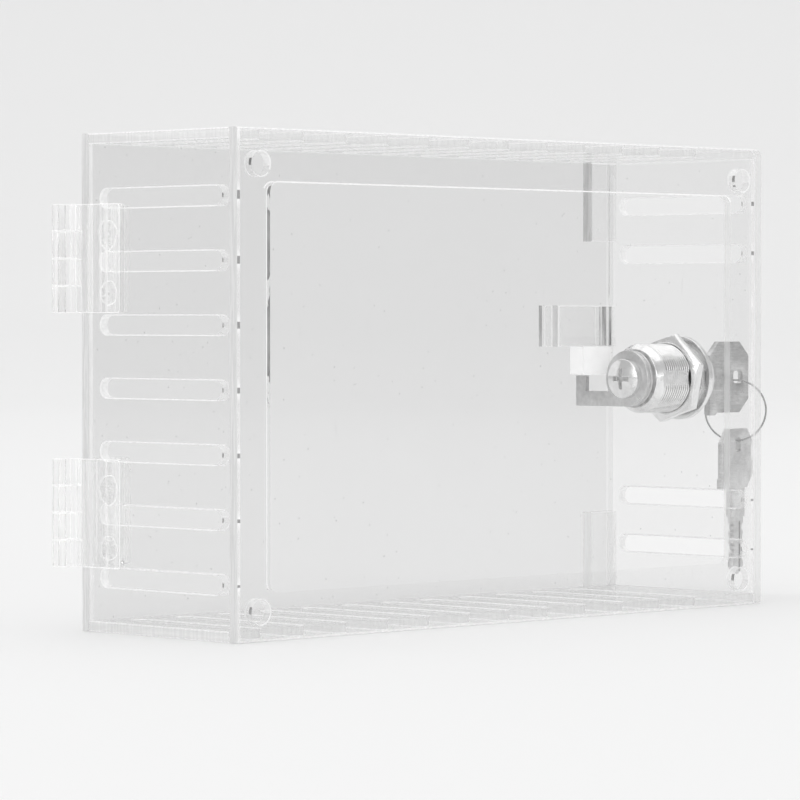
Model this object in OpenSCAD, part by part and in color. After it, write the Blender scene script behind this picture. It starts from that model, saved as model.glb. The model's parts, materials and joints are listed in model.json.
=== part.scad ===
// Clear acrylic lock box that fits over a wall thermostat.
// The wall is the plane y = 0, the door is towards -y and z is up.
// The origin is the centre of the four wall screw holes.
// The hinges are on the +x side and the cam lock is on the -x side.

/* [Box] */
// Outside width of the box
box_w = 220; // [210:1:260]
// Outside height of the box
box_h = 140; // [130:1:180]
// Depth from the wall to the outside of the door
box_d = 64.5; // [60:0.5:80]
// Thickness of the clear sheet
sheet_t = 3; // [2.5:0.1:3.5]
// How far the holes, hinges and lock sit below the middle of the box
feature_drop = 0.85; // [0:0.05:2]

// Gap between the closed door and the box
door_gap = 0.15; // [0.1:0.05:0.5]

/* [Back plate] */
// Diameter of a wall screw hole
screw_hole_d = 6.8; // [4:0.1:8]
// Distance from the side of the box to a wall screw hole
screw_inset_x = 9.25; // [8:0.25:12]
// Distance from the top of the box to a wall screw hole, less the drop
screw_inset_z = 8.9; // [8:0.1:12]
// Width of the opening for the thermostat
cutout_w = 192.6; // [150:0.2:196]
// Height of the opening for the thermostat
cutout_h = 112.3; // [80:0.1:114]
// How far the opening is moved towards the hinges
cutout_shift = 0.9; // [0:0.1:2]
// Corner radius of the opening
cutout_r = 3; // [1:0.5:6]
// Radius of the plate's upper corner on the lock side
plate_corner_r = 2.4; // [0.5:0.1:5]

/* [Air slots] */
// Width of every air slot
slot_w = 5.3; // [3:0.1:7]
// Distance from the front edge of a wall to the end of a slot
slot_front_margin = 5.05; // [4:0.05:8]
// Distance from the back plate to the end of a slot
slot_back_margin = 3; // [3:0.1:8]
// Slots in the hinge side
hinge_side_slots = 7; // [3:1:7]
// Distance between slots in the hinge side
hinge_side_pitch = 17.7; // [12:0.1:18]
// Distance between slots in the lock side
lock_side_pitch = 15.25; // [14.6:0.05:16]
// Slots in the top, and in the bottom
top_slots = 12; // [4:1:12]
// Distance between slots in the top
top_pitch = 16.5; // [12:0.1:16.5]
// How far the row in the top is moved towards the hinges
top_shift = 6.2; // [4:0.1:7]

/* [Hinges] */
// Distance between the middles of the two hinges
hinge_spacing = 71.5; // [60:0.5:84]
// Height of a hinge
hinge_h = 30.5; // [28:0.5:40]
// Radius of the hinge barrel
barrel_r = 2.8; // [2.6:0.05:3]
// Distance from the hinge axis to the outside of the box
axis_offset = 3.85; // [3.6:0.05:4.2]
// Distance from the hinge axis to the far edge of a leaf
leaf_reach = 22.4; // [16:0.2:26]
// Thickness of a leaf
leaf_t = 2; // [1.6:0.1:2.2]
// Radius of the hinge pin
pin_r = 1; // [0.8:0.05:1.2]

/* [Lock] */
// Distance from the wall to the lock axis
lock_from_wall = 34.4; // [32:0.1:36]
// Height of the lock axis above the centre of the screw holes
lock_z = 0.15; // [0:0.05:2]
// Radius of the threaded barrel
thread_r = 10.75; // [10.4:0.05:10.9]
// Length of the barrel behind the outside of the box
barrel_len = 20.3; // [19.4:0.1:20.6]
// Radius of the rim outside the box
rim_r = 13.1; // [12.5:0.1:14.5]
// How far the lock face stands proud of the box
face_proud = 5; // [4.5:0.1:6]
// Width of the nut across its flats
nut_flats = 24.5; // [24:0.1:26]
// Thickness of the nut
nut_t = 3; // [2.5:0.1:4]
// How far the nut is turned about the lock axis
nut_turn = 48; // [0:1:59]
// Radius of the plug
plug_r = 6; // [5.8:0.05:6.2]
// Thickness of the cam
cam_t = 1.6; // [1.2:0.1:1.8]
// Distance from the lock axis to the tip of the cam
cam_reach = 21.4; // [20.8:0.1:22]

/* [Catch] */
// Width of the block glued to the door
catch_block_w = 26.1; // [24:0.1:27]
// Height of the block
catch_block_h = 12.8; // [10:0.1:16]
// Distance from the lock side of the box to the block
catch_block_inset = 9.3; // [8:0.1:10]
// Width of the lip that the cam hooks behind
catch_lip_w = 13.1; // [11:0.1:14]
// Gap between the lip and the cam tip when the cam is level
catch_gap = 0.4; // [0.3:0.05:0.8]

/* [Door stops] */
// Height of the upper stop block
upper_stop_h = 24.7; // [15:0.1:28]
// Height of the lower stop block
lower_stop_h = 23.7; // [15:0.1:26]
// Width of a stop block
stop_w = 11.9; // [8:0.1:12]
// Thickness of a stop block
stop_t = 3.8; // [3:0.1:4.5]

/* [Keys] */
// Width of the bow of a key
bow_w = 22.6; // [20:0.2:24]
// Length of the bow
bow_len = 18.9; // [17:0.1:20]
// Length of the neck between the bow and the blade
neck_len = 9.3; // [8:0.1:11]
// Length of the blade
blade_len = 18.2; // [17:0.1:18.6]
// Height of the blade
blade_h = 7.4; // [6.8:0.1:7.5]
// Thickness of a key
key_t = 2; // [1.6:0.1:2]
// Radius of the key ring, to the middle of the wire
ring_r = 9.7; // [9.4:0.1:11]
// Radius of the key ring wire
wire_r = 0.5; // [0.4:0.05:0.6]

/* [Hidden] */
$fn = 64;

// Running clearance between a shaft and its hole
running = 0.05;
// Length added to a cutting shape so that it passes right through
through = 1;

// Outside faces of the box, as x, y and z
side_x = box_w / 2;
top_z = box_h / 2 + feature_drop;
bottom_z = top_z - box_h;
front_y = -box_d;
door_back_y = front_y + sheet_t;
inner_x = side_x - sheet_t;
wall_front_y = door_back_y + door_gap;
wall_depth = box_d - 2 * sheet_t - door_gap;

// Wall screw holes
screw_x = side_x - screw_inset_x;
screw_z = box_h / 2 - screw_inset_z;

// Air slots: length, and middle from front to back
slot_len = wall_depth - slot_front_margin - slot_back_margin;
slot_mid_y = wall_front_y + slot_front_margin + slot_len / 2;
// Lock side: two slots above the lock and two below
lock_slot_steps = [-3.5, -2.5, 2.5, 3.5];
hinge_slot_drop = 0.6;

// Hinges: axis and knuckles
axis_x = side_x + axis_offset;
axis_y = front_y - axis_offset;
knuckles = 4;
knuckle_gap = 0.2;
knuckle_h = (hinge_h - (knuckles - 1) * knuckle_gap) / knuckles;
notch_gap = 0.3;
web_in = 0.2 * barrel_r;
web_out = 0.95 * barrel_r;
leaf_corner_r = 1;

// Lock: the local z axis runs into the box from its outside face
rim_t = 1.8;
face_r = 11;
shoulder_r = 12.3;
thread_depth = 0.45;
thread_pitch = 1;
taper_len = 2.1;
barrel_end_r = thread_r - 1.55;
barrel_flat = thread_r - 0.55;
wall_hole_r = thread_r + 0.2;
wall_hole_flat = barrel_flat + 0.2;
nut_bore_r = thread_r + running;
plug_head_r = plug_r + 1.2;
plug_head_t = 1.5;
thread_end = barrel_len - taper_len;
thread_turns = floor(thread_end / thread_pitch);
washer_gap = 1.1;
washer_z = barrel_len + washer_gap;
washer_t = 1;
washer_r = 8.8;
cam_z = washer_z + washer_t;
cam_end_z = cam_z + cam_t;
cam_hub_r = 8.7;
stub_w = 7;
stub_fit = 0.1;
stub_end_z = cam_end_z - 0.1;
keyway_reach = 14;
keyway_len = face_proud + keyway_reach;
keyway_w = key_t + 0.2;
keyway_h = blade_h + 0.4;

// Wafers that the key lifts
wafers = 5;
wafer_pitch = 2.5;
wafer_t = 1;
wafer_w = 5;
wafer_h = 10.2;
wafer_fit = 0.1;
first_wafer_z = 1;

// Cam: a level arm under the axis with a leg that turns up at its tip
arm_top = -4;
arm_h = 4.7;
leg_w = 4.2;
leg_top = 0.8;

// Cam screw
screw_head_r = 6.1;
screw_head_t = 2;
screw_dome_t = 1.2;
screw_shank_r = 2;
screw_shank_len = 9;
recess_w = 1.3;
recess_len = 6.4;
recess_depth = 1.9;
dome_steps = 8;

// Catch on the door, measured from the lock axis
block_layers = 3;
block_t = block_layers * sheet_t;
block_front_y = door_back_y + block_t;
block_x = -side_x + catch_block_inset;
lip_x = -side_x + cam_z - 1.7;
lip_bottom_z = lock_z + leg_top + catch_gap;
lip_h = 8.7;
lip_t = 5.8;
arm_bottom_z = lip_bottom_z + lip_h;
lip_back_y = -lock_from_wall - cam_hub_r - 0.6;
arm_extra = 2;

// Keys, measured from the shoulder that meets the lock face
bow_end = -neck_len - bow_len;
bow_chamfer = 4.4;
neck_h = 10;
key_hole_from_end = 5.2;
key_hole_len = 4.4;
key_hole_h = 4;
ear_len = 2.8;
ear_h = 0.8;
tip_len = 2.4;
cut_depths = [1.0, 0.5, 1.2, 0.7];
cut_w = 1.5;
first_cut = 3.4;
cut_pitch = 3.2;
lock_face_x = -side_x - face_proud;
key_hole_x = lock_face_x + bow_end + key_hole_from_end;

// Key ring and the spare key that hangs from it
wire_in_hole = 0.5;
ring_top_z = lock_z - key_hole_h / 2 + wire_r + wire_in_hole;
ring_mid_z = ring_top_z - ring_r;
ring_bottom_z = ring_mid_z - ring_r;
ring_yaw = 45;
spare_yaw = 106;
spare_lift = 0.4;
spare_end_z = ring_bottom_z + wire_r + spare_lift + key_hole_from_end - key_hole_len / 2;

// Place a shape on the lock axis, with z running into the box
module at_lock() {
    translate([-side_x, -lock_from_wall, lock_z])
        rotate([0, 90, 0])
            children();
}

// Flat outline with rounded corners, centred
module rounded_rect(w, h, r) {
    square([w - 2 * r, h], center = true);
    square([w, h - 2 * r], center = true);
    for (sx = [-1, 1], sy = [-1, 1])
        translate([sx * (w / 2 - r), sy * (h / 2 - r)])
            circle(r);
}

// Flat slot with round ends, along y, centred
module slot_outline(len) {
    square([slot_w, len - slot_w], center = true);
    for (s = [-1, 1])
        translate([0, s * (len - slot_w) / 2])
            circle(d = slot_w);
}

// Cutter for one air slot through a sheet that lies flat
module slot_cutter() {
    translate([0, 0, -sheet_t / 2 - through])
        linear_extrude(sheet_t + 2 * through)
            slot_outline(slot_len);
}

module back_plate() {
    color([0.86, 0.88, 0.88, 0.5])
        rotate([90, 0, 0])
            difference() {
                translate([-side_x, bottom_z, 0])
                    cube([box_w, box_h, sheet_t]);
                translate([cutout_shift, 0, -through])
                    linear_extrude(sheet_t + 2 * through)
                        rounded_rect(cutout_w, cutout_h, cutout_r);
                for (sx = [-1, 1], sz = [-1, 1])
                    translate([sx * screw_x, sz * screw_z, -through])
                        cylinder(d = screw_hole_d, h = sheet_t + 2 * through);
                // Rounded upper corner on the lock side
                translate([-side_x + plate_corner_r, top_z - plate_corner_r, -through])
                    difference() {
                        translate([-2 * plate_corner_r, 0, 0])
                            cube([2 * plate_corner_r, 2 * plate_corner_r, sheet_t + 2 * through]);
                        translate([0, 0, -through])
                            cylinder(r = plate_corner_r, h = sheet_t + 4 * through);
                    }
            }
}

// Flat blank of a side wall, between the top and the bottom
module side_blank(x) {
    translate([x, wall_front_y, bottom_z + sheet_t])
        cube([sheet_t, wall_depth, box_h - 2 * sheet_t]);
}

module hinge_wall() {
    color([0.86, 0.88, 0.88, 0.5])
        difference() {
            side_blank(inner_x);
            for (i = [0 : hinge_side_slots - 1])
                translate([
                    inner_x + sheet_t / 2,
                    slot_mid_y,
                    (i - (hinge_side_slots - 1) / 2) * hinge_side_pitch - hinge_slot_drop
                ])
                    rotate([0, 90, 0])
                        slot_cutter();
        }
}

module lock_wall() {
    color([0.86, 0.88, 0.88, 0.5])
        difference() {
            side_blank(-side_x);
            for (step = lock_slot_steps)
                translate([
                    -side_x + sheet_t / 2,
                    slot_mid_y,
                    feature_drop + step * lock_side_pitch
                ])
                    rotate([0, 90, 0])
                        slot_cutter();
            at_lock()
                translate([0, 0, -through])
                    intersection() {
                        cylinder(r = wall_hole_r, h = sheet_t + 2 * through);
                        translate([-wall_hole_r - 1, -wall_hole_flat, 0])
                            cube([2 * wall_hole_r + 2, 2 * wall_hole_flat, sheet_t + 2 * through]);
                    }
        }
}

// Top or bottom of the box, with its row of slots; z is its lower face
module slotted_lid(z) {
    difference() {
        translate([-side_x, wall_front_y, z])
            cube([box_w, wall_depth, sheet_t]);
        for (i = [0 : top_slots - 1])
            translate([
                top_shift + (i - (top_slots - 1) / 2) * top_pitch,
                slot_mid_y,
                z + sheet_t / 2
            ])
                slot_cutter();
    }
}

module top_wall() {
    color([0.88, 0.9, 0.9, 0.5])
        slotted_lid(top_z - sheet_t);
}

module bottom_wall() {
    color([0.88, 0.9, 0.9, 0.5])
        slotted_lid(bottom_z);
}

module upper_stop_block() {
    color([0.6, 0.62, 0.62])
        translate([-inner_x, wall_front_y, top_z - sheet_t - upper_stop_h])
            cube([stop_w, stop_t, upper_stop_h]);
}

module lower_stop_block() {
    color([0.85, 0.87, 0.87])
        translate([-inner_x, wall_front_y, bottom_z + sheet_t])
            cube([stop_w, stop_t, lower_stop_h]);
}

module door_panel() {
    color([0.86, 0.88, 0.88, 0.5])
        translate([-side_x, front_y, bottom_z])
            cube([box_w, sheet_t, box_h]);
}

// Lower end of a knuckle, counted from the top of the hinge
function knuckle_z(i) = hinge_h / 2 - i * (knuckle_h + knuckle_gap) - knuckle_h;

// Outline of a leaf and its web, seen along the hinge axis.
// The leaf lies along y; near_edge is the end of the leaf next to the barrel.
module leaf_outline(near_edge) {
    translate([-axis_offset, near_edge])
        square([leaf_t, leaf_reach - near_edge]);
}

module web_outline() {
    polygon([
        [-axis_offset, axis_offset],
        [-axis_offset + leaf_t, axis_offset],
        [-web_in, web_out],
        [-web_out, web_in]
    ]);
}

// One leaf, with its knuckles at the places given, and a bore of radius bore
module hinge_leaf(places, bore) {
    difference() {
        union() {
            translate([0, 0, -hinge_h / 2])
                linear_extrude(hinge_h)
                    leaf_outline(axis_offset + notch_gap);
            for (i = places)
                translate([0, 0, knuckle_z(i)])
                    linear_extrude(knuckle_h) {
                        leaf_outline(axis_offset);
                        web_outline();
                        circle(barrel_r);
                    }
        }
        translate([0, 0, -hinge_h / 2 - through])
            cylinder(r = bore, h = hinge_h + 2 * through);
        // Rounded far corners
        for (s = [-1, 1])
            translate([-axis_offset - through, leaf_reach, s * hinge_h / 2])
                rotate([0, 90, 0])
                    difference() {
                        translate([-leaf_corner_r, -leaf_corner_r, 0])
                            cube([2 * leaf_corner_r, 2 * leaf_corner_r, leaf_t + 2 * through]);
                        translate([s * leaf_corner_r, -leaf_corner_r, -through])
                            cylinder(r = leaf_corner_r, h = leaf_t + 4 * through);
                    }
    }
}

// Place a hinge part; side is 1 for the upper hinge and -1 for the lower
module at_hinge(side) {
    translate([axis_x, axis_y, side * hinge_spacing / 2])
        children();
}

// The leaf on the side wall, which carries the first and third knuckles
module wall_leaf(side) {
    color([0.9, 0.92, 0.92])
        at_hinge(side)
            hinge_leaf([0, 2], pin_r);
}

// The leaf on the door is the mirror image across the corner of the box
module door_leaf(side) {
    color([0.84, 0.86, 0.86])
        at_hinge(side)
            rotate([0, 0, 90])
                mirror([1, 0, 0])
                    hinge_leaf([1, 3], pin_r + running);
}

module hinge_pin(side) {
    color([0.8, 0.82, 0.82])
        at_hinge(side)
            translate([0, 0, -hinge_h / 2])
                cylinder(r = pin_r, h = hinge_h);
}

module upper_wall_leaf() wall_leaf(1);
module lower_wall_leaf() wall_leaf(-1);
module upper_door_leaf() door_leaf(1);
module lower_door_leaf() door_leaf(-1);
module upper_hinge_pin() hinge_pin(1);
module lower_hinge_pin() hinge_pin(-1);

module catch_block() {
    color([0.75, 0.77, 0.77])
        translate([block_x, door_back_y, arm_bottom_z])
            cube([catch_block_w, block_t, catch_block_h]);
}

module catch_arm() {
    color([0.85, 0.87, 0.87])
        translate([lip_x - arm_extra, block_front_y, arm_bottom_z])
            cube([catch_lip_w + arm_extra, lip_back_y - block_front_y, sheet_t]);
}

module catch_lip() {
    color([0.93, 0.94, 0.94])
        translate([lip_x, lip_back_y - lip_t, lip_bottom_z])
            cube([catch_lip_w, lip_t, lip_h]);
}

// Half outline of the barrel: rim, face, threads and taper, as radius and z
function barrel_outline() = concat(
    [
        [0, -face_proud],
        [face_r, -face_proud],
        [shoulder_r, -rim_t],
        [rim_r, -rim_t],
        [rim_r, 0]
    ],
    [for (i = [0 : thread_turns - 1]) each [
        [thread_r - thread_depth, i * thread_pitch],
        [thread_r, (i + 0.5) * thread_pitch]
    ]],
    [
        [thread_r - thread_depth, thread_turns * thread_pitch],
        [thread_r, thread_end],
        [barrel_end_r, barrel_len],
        [0, barrel_len]
    ]
);

module lock_body() {
    color([0.78, 0.79, 0.8])
        at_lock()
            difference() {
                rotate_extrude()
                    polygon(barrel_outline());
                for (s = [-1, 1])
                    translate([-rim_r, s > 0 ? barrel_flat : -barrel_flat - rim_r, 0])
                        cube([2 * rim_r, rim_r, barrel_len + through]);
                translate([0, 0, -face_proud - through])
                    cylinder(r = plug_r + running, h = face_proud + barrel_len + 2 * through);
                translate([0, 0, -face_proud - through])
                    cylinder(r = plug_head_r + running, h = plug_head_t + through);
            }
}

// Hexagonal nut with its corners chamfered on the inner side
module lock_nut() {
    nut_corner_r = nut_flats / 2 / cos(30);
    color([0.85, 0.86, 0.87])
        at_lock()
            translate([0, 0, sheet_t])
                difference() {
                    intersection() {
                        rotate([0, 0, nut_turn])
                            cylinder(r = nut_corner_r, h = nut_t, $fn = 6);
                        rotate_extrude()
                            polygon([
                                [0, 0],
                                [nut_corner_r + 1, 0],
                                [nut_corner_r + 1, nut_t - 1.4],
                                [nut_flats / 2 - 0.3, nut_t],
                                [0, nut_t]
                            ]);
                    }
                    translate([0, 0, -through])
                        cylinder(r = nut_bore_r, h = nut_t + 2 * through);
                }
}

// Lower face of a wafer slot along the plug
function wafer_z(i) = first_wafer_z + i * wafer_pitch;

module lock_plug() {
    color([0.82, 0.8, 0.74])
        at_lock()
            difference() {
                union() {
                    translate([0, 0, -face_proud])
                        cylinder(r = plug_r, h = face_proud + washer_z);
                    translate([0, 0, -face_proud])
                        cylinder(r = plug_head_r, h = plug_head_t);
                    translate([-stub_w / 2, -stub_w / 2, washer_z])
                        cube([stub_w, stub_w, stub_end_z - washer_z]);
                }
                translate([-keyway_h / 2, -keyway_w / 2, -face_proud - through])
                    cube([keyway_h, keyway_w, keyway_len + through]);
                for (i = [0 : wafers - 1])
                    translate([
                        -(wafer_h + 2 * wafer_fit) / 2,
                        -(wafer_w + 2 * wafer_fit) / 2,
                        wafer_z(i)
                    ])
                        cube([wafer_h + 2 * wafer_fit, wafer_w + 2 * wafer_fit, wafer_t + wafer_fit]);
                translate([0, 0, cam_end_z - screw_shank_len])
                    cylinder(r = screw_shank_r, h = screw_shank_len + through);
            }
}

module lock_wafers() {
    window_w = key_t + 0.6;
    window_h = blade_h + 0.6;
    color([0.8, 0.68, 0.4])
        at_lock()
            for (i = [0 : wafers - 1])
                translate([0, 0, wafer_z(i)])
                    difference() {
                        translate([-wafer_h / 2, -wafer_w / 2, 0])
                            cube([wafer_h, wafer_w, wafer_t]);
                        translate([-window_h / 2, -window_w / 2, -through])
                            cube([window_h, window_w, wafer_t + 2 * through]);
                    }
}

// Square hole that fits over the end of the plug
module stub_hole(len) {
    hole_w = stub_w + stub_fit;
    translate([-hole_w / 2, -hole_w / 2, -through])
        cube([hole_w, hole_w, len + 2 * through]);
}

module cam_washer() {
    color([0.6, 0.61, 0.62])
        at_lock()
            translate([0, 0, washer_z])
                difference() {
                    cylinder(r = washer_r, h = washer_t);
                    stub_hole(washer_t);
                }
}

// In the lock's own axes, local x points down and local y points to the wall
module lock_cam() {
    color([0.55, 0.56, 0.57])
        at_lock()
            translate([0, 0, cam_z])
                difference() {
                    union() {
                        cylinder(r = cam_hub_r, h = cam_t);
                        translate([-arm_top, -cam_reach, 0])
                            cube([arm_h, cam_reach, cam_t]);
                        translate([-leg_top, -cam_reach, 0])
                            cube([leg_top - arm_top + arm_h, leg_w, cam_t]);
                    }
                    stub_hole(cam_t);
                }
}

// Half outline of the screw head, with a dome that falls away to its edge
function screw_head_outline() = concat(
    [[0, 0], [screw_head_r, 0]],
    [for (i = [dome_steps : -1 : 0])
        let (part = i / dome_steps)
        [part * screw_head_r, screw_head_t + screw_dome_t * (1 - part * part)]
    ]
);

// Domed head with a cross recess, and a shank into the plug
module cam_screw() {
    color([0.8, 0.81, 0.82])
        at_lock()
            translate([0, 0, cam_end_z]) {
                difference() {
                    rotate_extrude()
                        polygon(screw_head_outline());
                    for (turn = [0, 90])
                        rotate([0, 0, turn])
                            translate([
                                -recess_len / 2,
                                -recess_w / 2,
                                screw_head_t + screw_dome_t - recess_depth
                            ])
                                cube([recess_len, recess_w, recess_depth + through]);
                }
                translate([0, 0, -screw_shank_len])
                    cylinder(r = screw_shank_r, h = screw_shank_len);
            }
}

// Cuts along one edge of the blade, from the shoulder to the tip
function blade_cuts(side) = [
    for (i = [0 : len(cut_depths) - 1])
        let (mid = first_cut + i * cut_pitch)
        each [
            [mid - cut_w, side * blade_h / 2],
            [mid - cut_w / 3, side * (blade_h / 2 - cut_depths[i])],
            [mid + cut_w / 3, side * (blade_h / 2 - cut_depths[i])],
            [mid + cut_w, side * blade_h / 2]
        ]
];

function reversed(list) = [for (i = [len(list) - 1 : -1 : 0]) list[i]];

// Flat outline of a key: bow, neck and blade, with the shoulder at x = 0
module key_outline() {
    polygon(concat(
        [
            [bow_end, bow_w / 2 - bow_chamfer],
            [bow_end + bow_chamfer, bow_w / 2],
            [-neck_len - bow_chamfer, bow_w / 2],
            [-neck_len, bow_w / 2 - bow_chamfer],
            [-neck_len, neck_h / 2],
            [0, neck_h / 2],
            [0, blade_h / 2]
        ],
        blade_cuts(1),
        [
            [blade_len - tip_len, blade_h / 2],
            [blade_len, 0.8],
            [blade_len, -0.8],
            [blade_len - tip_len, -blade_h / 2]
        ],
        reversed(blade_cuts(-1)),
        [
            [0, -blade_h / 2],
            [0, -neck_h / 2],
            [-neck_len, -neck_h / 2],
            [-neck_len, -bow_w / 2 - ear_h],
            [-neck_len - ear_len, -bow_w / 2 - ear_h],
            [-neck_len - ear_len - ear_h, -bow_w / 2],
            [bow_end + bow_chamfer, -bow_w / 2],
            [bow_end, -bow_w / 2 + bow_chamfer]
        ]
    ));
}

module key_shape() {
    translate([0, 0, -key_t / 2])
        linear_extrude(key_t)
            difference() {
                key_outline();
                translate([bow_end + key_hole_from_end, 0])
                    rounded_rect(key_hole_len, key_hole_h, 1);
            }
}

module key_in_lock() {
    color([0.6, 0.6, 0.6])
        translate([lock_face_x, -lock_from_wall, lock_z])
            rotate([90, 0, 0])
                key_shape();
}

module key_ring() {
    color([0.55, 0.55, 0.55])
        translate([key_hole_x, -lock_from_wall, ring_mid_z])
            rotate([0, 0, ring_yaw])
                rotate([0, 90, 0])
                    rotate_extrude()
                        translate([ring_r, 0])
                            circle(wire_r, $fn = 24);
}

// Hangs blade down from the bottom of the ring
module spare_key() {
    color([0.68, 0.68, 0.68])
        translate([key_hole_x, -lock_from_wall, spare_end_z])
            rotate([0, 0, spare_yaw])
                rotate([0, 90, 0])
                    translate([-bow_end, 0, 0])
                        key_shape();
}

back_plate();
hinge_wall();
lock_wall();
top_wall();
bottom_wall();
upper_stop_block();
lower_stop_block();
upper_wall_leaf();
upper_door_leaf();
upper_hinge_pin();
lower_wall_leaf();
lower_door_leaf();
lower_hinge_pin();
door_panel();
catch_block();
catch_arm();
catch_lip();
lock_body();
lock_nut();
lock_plug();
lock_wafers();
cam_washer();
lock_cam();
cam_screw();
key_in_lock();
key_ring();
spare_key();
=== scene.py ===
"""Looks of the clear acrylic thermostat lock box: sheets, hinges, catch, cam lock and keys."""
import json
import math

import bmesh
import bpy
from mathutils import Matrix, Vector


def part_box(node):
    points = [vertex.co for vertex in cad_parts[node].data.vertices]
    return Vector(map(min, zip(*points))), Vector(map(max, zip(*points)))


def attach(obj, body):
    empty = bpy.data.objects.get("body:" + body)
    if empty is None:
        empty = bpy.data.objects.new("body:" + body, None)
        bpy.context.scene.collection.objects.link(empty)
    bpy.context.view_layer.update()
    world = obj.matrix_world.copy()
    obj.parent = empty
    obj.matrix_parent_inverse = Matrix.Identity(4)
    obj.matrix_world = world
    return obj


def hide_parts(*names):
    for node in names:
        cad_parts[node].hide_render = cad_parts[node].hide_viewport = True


MM = 0.001
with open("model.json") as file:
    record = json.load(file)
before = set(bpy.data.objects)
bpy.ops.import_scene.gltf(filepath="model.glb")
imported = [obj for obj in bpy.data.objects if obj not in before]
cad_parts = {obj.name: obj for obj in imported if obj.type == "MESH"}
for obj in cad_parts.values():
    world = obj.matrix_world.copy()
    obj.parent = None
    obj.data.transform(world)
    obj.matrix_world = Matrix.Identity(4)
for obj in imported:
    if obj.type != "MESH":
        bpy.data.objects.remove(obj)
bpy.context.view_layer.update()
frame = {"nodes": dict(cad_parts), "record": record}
NODES = frame["nodes"]
SCENE = bpy.context.scene

# Faces that light may pass or bounce from: many, as it goes through several clear sheets
CLEAR_BOUNCES = 48
ALL_BOUNCES = 16

# Place of the photograph's camera in metres, its turn in radians, and its lens
CAMERA_PLACE = Vector((0.85637, 0.81273, 0.01971))
CAMERA_YAW = 0.7830
CAMERA_PITCH = 0.0207
FOCAL_PIXELS = 4075.1
PICTURE_PIXELS = 800
SENSOR_MM = 36

# Greys of the floor and of the wall behind it, and the height over which they change
FLOOR_TONE = 0.92
WALL_TONE = 0.89
HORIZON_RISE = 0.07

# Backdrop, in metres: gap below the box, floor's near and far end, bend, height and half width
FLOOR_GAP = 0.0002
FLOOR_NEAR = -6.0
FLOOR_FAR = 2.9
BEND_R = 0.7
BEND_STEPS = 12
WALL_TOP = 5.0
BACKDROP_HALF_WIDTH = 6.0

# Strength of the surroundings, then each lamp's place, size, watts and aim in metres
WORLD_LIGHT = 0.6
BOX_MIDDLE = Vector((0, -0.03, 0))
LAMPS = {
    "overhead": (Vector((-0.9, -0.9, 3.0)), (6, 6), 72, Vector((-0.9, -0.9, 0))),
    "left_of_camera": (Vector((2.1, 0.2, 0.9)), (1.2, 1.6), 7, BOX_MIDDLE),
    "right_of_camera": (Vector((-0.3, 2.2, 0.8)), (0.8, 1.4), 5, BOX_MIDDLE),
}

# Clear plastic: bending of its gloss, bubbles per metre in glue, and share of light let through
# by a cut edge and by one face of each sheet
SHEET_IOR = 1.49
BUBBLE_SCALE = 1300
CUT_THROUGH = 0.985
CLEAR_FACE = 0.986
PLATE_FACE = 0.98
DOOR_FACE = 0.93
LOCK_SIDE_FACE = 0.976

# Bevels of the sheets, of the small blocks and hinges, of stamped metal and of fine metal pieces
SHEET_BEVEL = 0.32 * MM
BLOCK_BEVEL = 0.25 * MM
METAL_BEVEL = 0.18 * MM
FINE_BEVEL = 0.12 * MM

# Degrees from which an edge is shaded sharp and from which it is rounded, largest bend between
# faces that count as one, steps of a rounded edge, and the length under which points are one
SMOOTH_ANGLE = 40
SHARP_ANGLE = 35
FLAT_ANGLE = 0.5
BEVEL_STEPS = 2
TINY = 1e-6

# Depth of a rounded corner's middle, as a share of its legs
ARC_DEPTH = 0.3

# Gap between glued layers, play of the hinge pins, and half width of a painted band's soft ends
GLUE_GAP = 0.06 * MM
PIN_EASE = 0.06 * MM
SOFT_EDGE = 0.08 * MM

# How far a face's middle may lie from a plane, or past a hole's radius, that it still belongs to
NEAR = 0.4 * MM
NEAR_HOLE = 0.2 * MM

# Margins that tell an opening's walls from a sheet's own edges
OPENING_MARGIN = 12 * MM
SLOT_MARGIN_Z = 3 * MM
SLOT_MARGIN_BACK = 1 * MM
SLOT_MARGIN_FRONT = 2 * MM

# Air slots of the side walls: height of their middle and distance between them
HINGE_SLOT_MIDDLE = -0.6 * MM
HINGE_SLOT_PITCH = 17.7 * MM
LOCK_SLOT_MIDDLE = 0.85 * MM
LOCK_SLOT_PITCH = 15.25 * MM

# Painted bands of bent light: start and end from the face named, low and high grey, share shown
HINGE_FRONT_BAND = (-1.6 * MM, 1 * MM, 0.9, 1.0, 0.6)
LOCK_FRONT_BAND = (-0.9 * MM, 1 * MM, 0.4, 0.58, 0.55)
HINGE_SLOT_BAND = (-0.9 * MM, -0.1 * MM, 0.12, 0.4, 0.8)
LOCK_SLOT_BAND = (-0.8 * MM, -0.1 * MM, 0.12, 0.4, 0.8)
SCREW_HOLE_BAND = (-1.4 * MM, -0.2 * MM, 0.1, 0.3, 0.85)
OPENING_BANDS = (
    (-1.95 * MM, -1.5 * MM, 0.97, 1.0, 0.9),
    (-1.5 * MM, -0.1 * MM, 0.1, 0.3, 0.85),
)
BLOCK_INNER_BANDS = (
    (0.4 * MM, 1.8 * MM, 0.3, 0.5, 0.8),
    (6.1 * MM, 8.4 * MM, 0.5, 0.66, 0.8),
)
BLOCK_OUTER_BANDS = (
    (-1 * MM, 0.9 * MM, 0.98, 1.0, 0.95),
    (2.1 * MM, 5.2 * MM, 0.15, 0.55, 0.85),
    (5.9 * MM, 7.4 * MM, 0.1, 0.4, 0.9),
)

# A band counts as dark below this grey. Limited dark bands stop here and fade over this height
DARK_BAND = 0.6
DARK_BAND_BOTTOM = -2 * MM
DARK_BAND_FADE = 4 * MM

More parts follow.
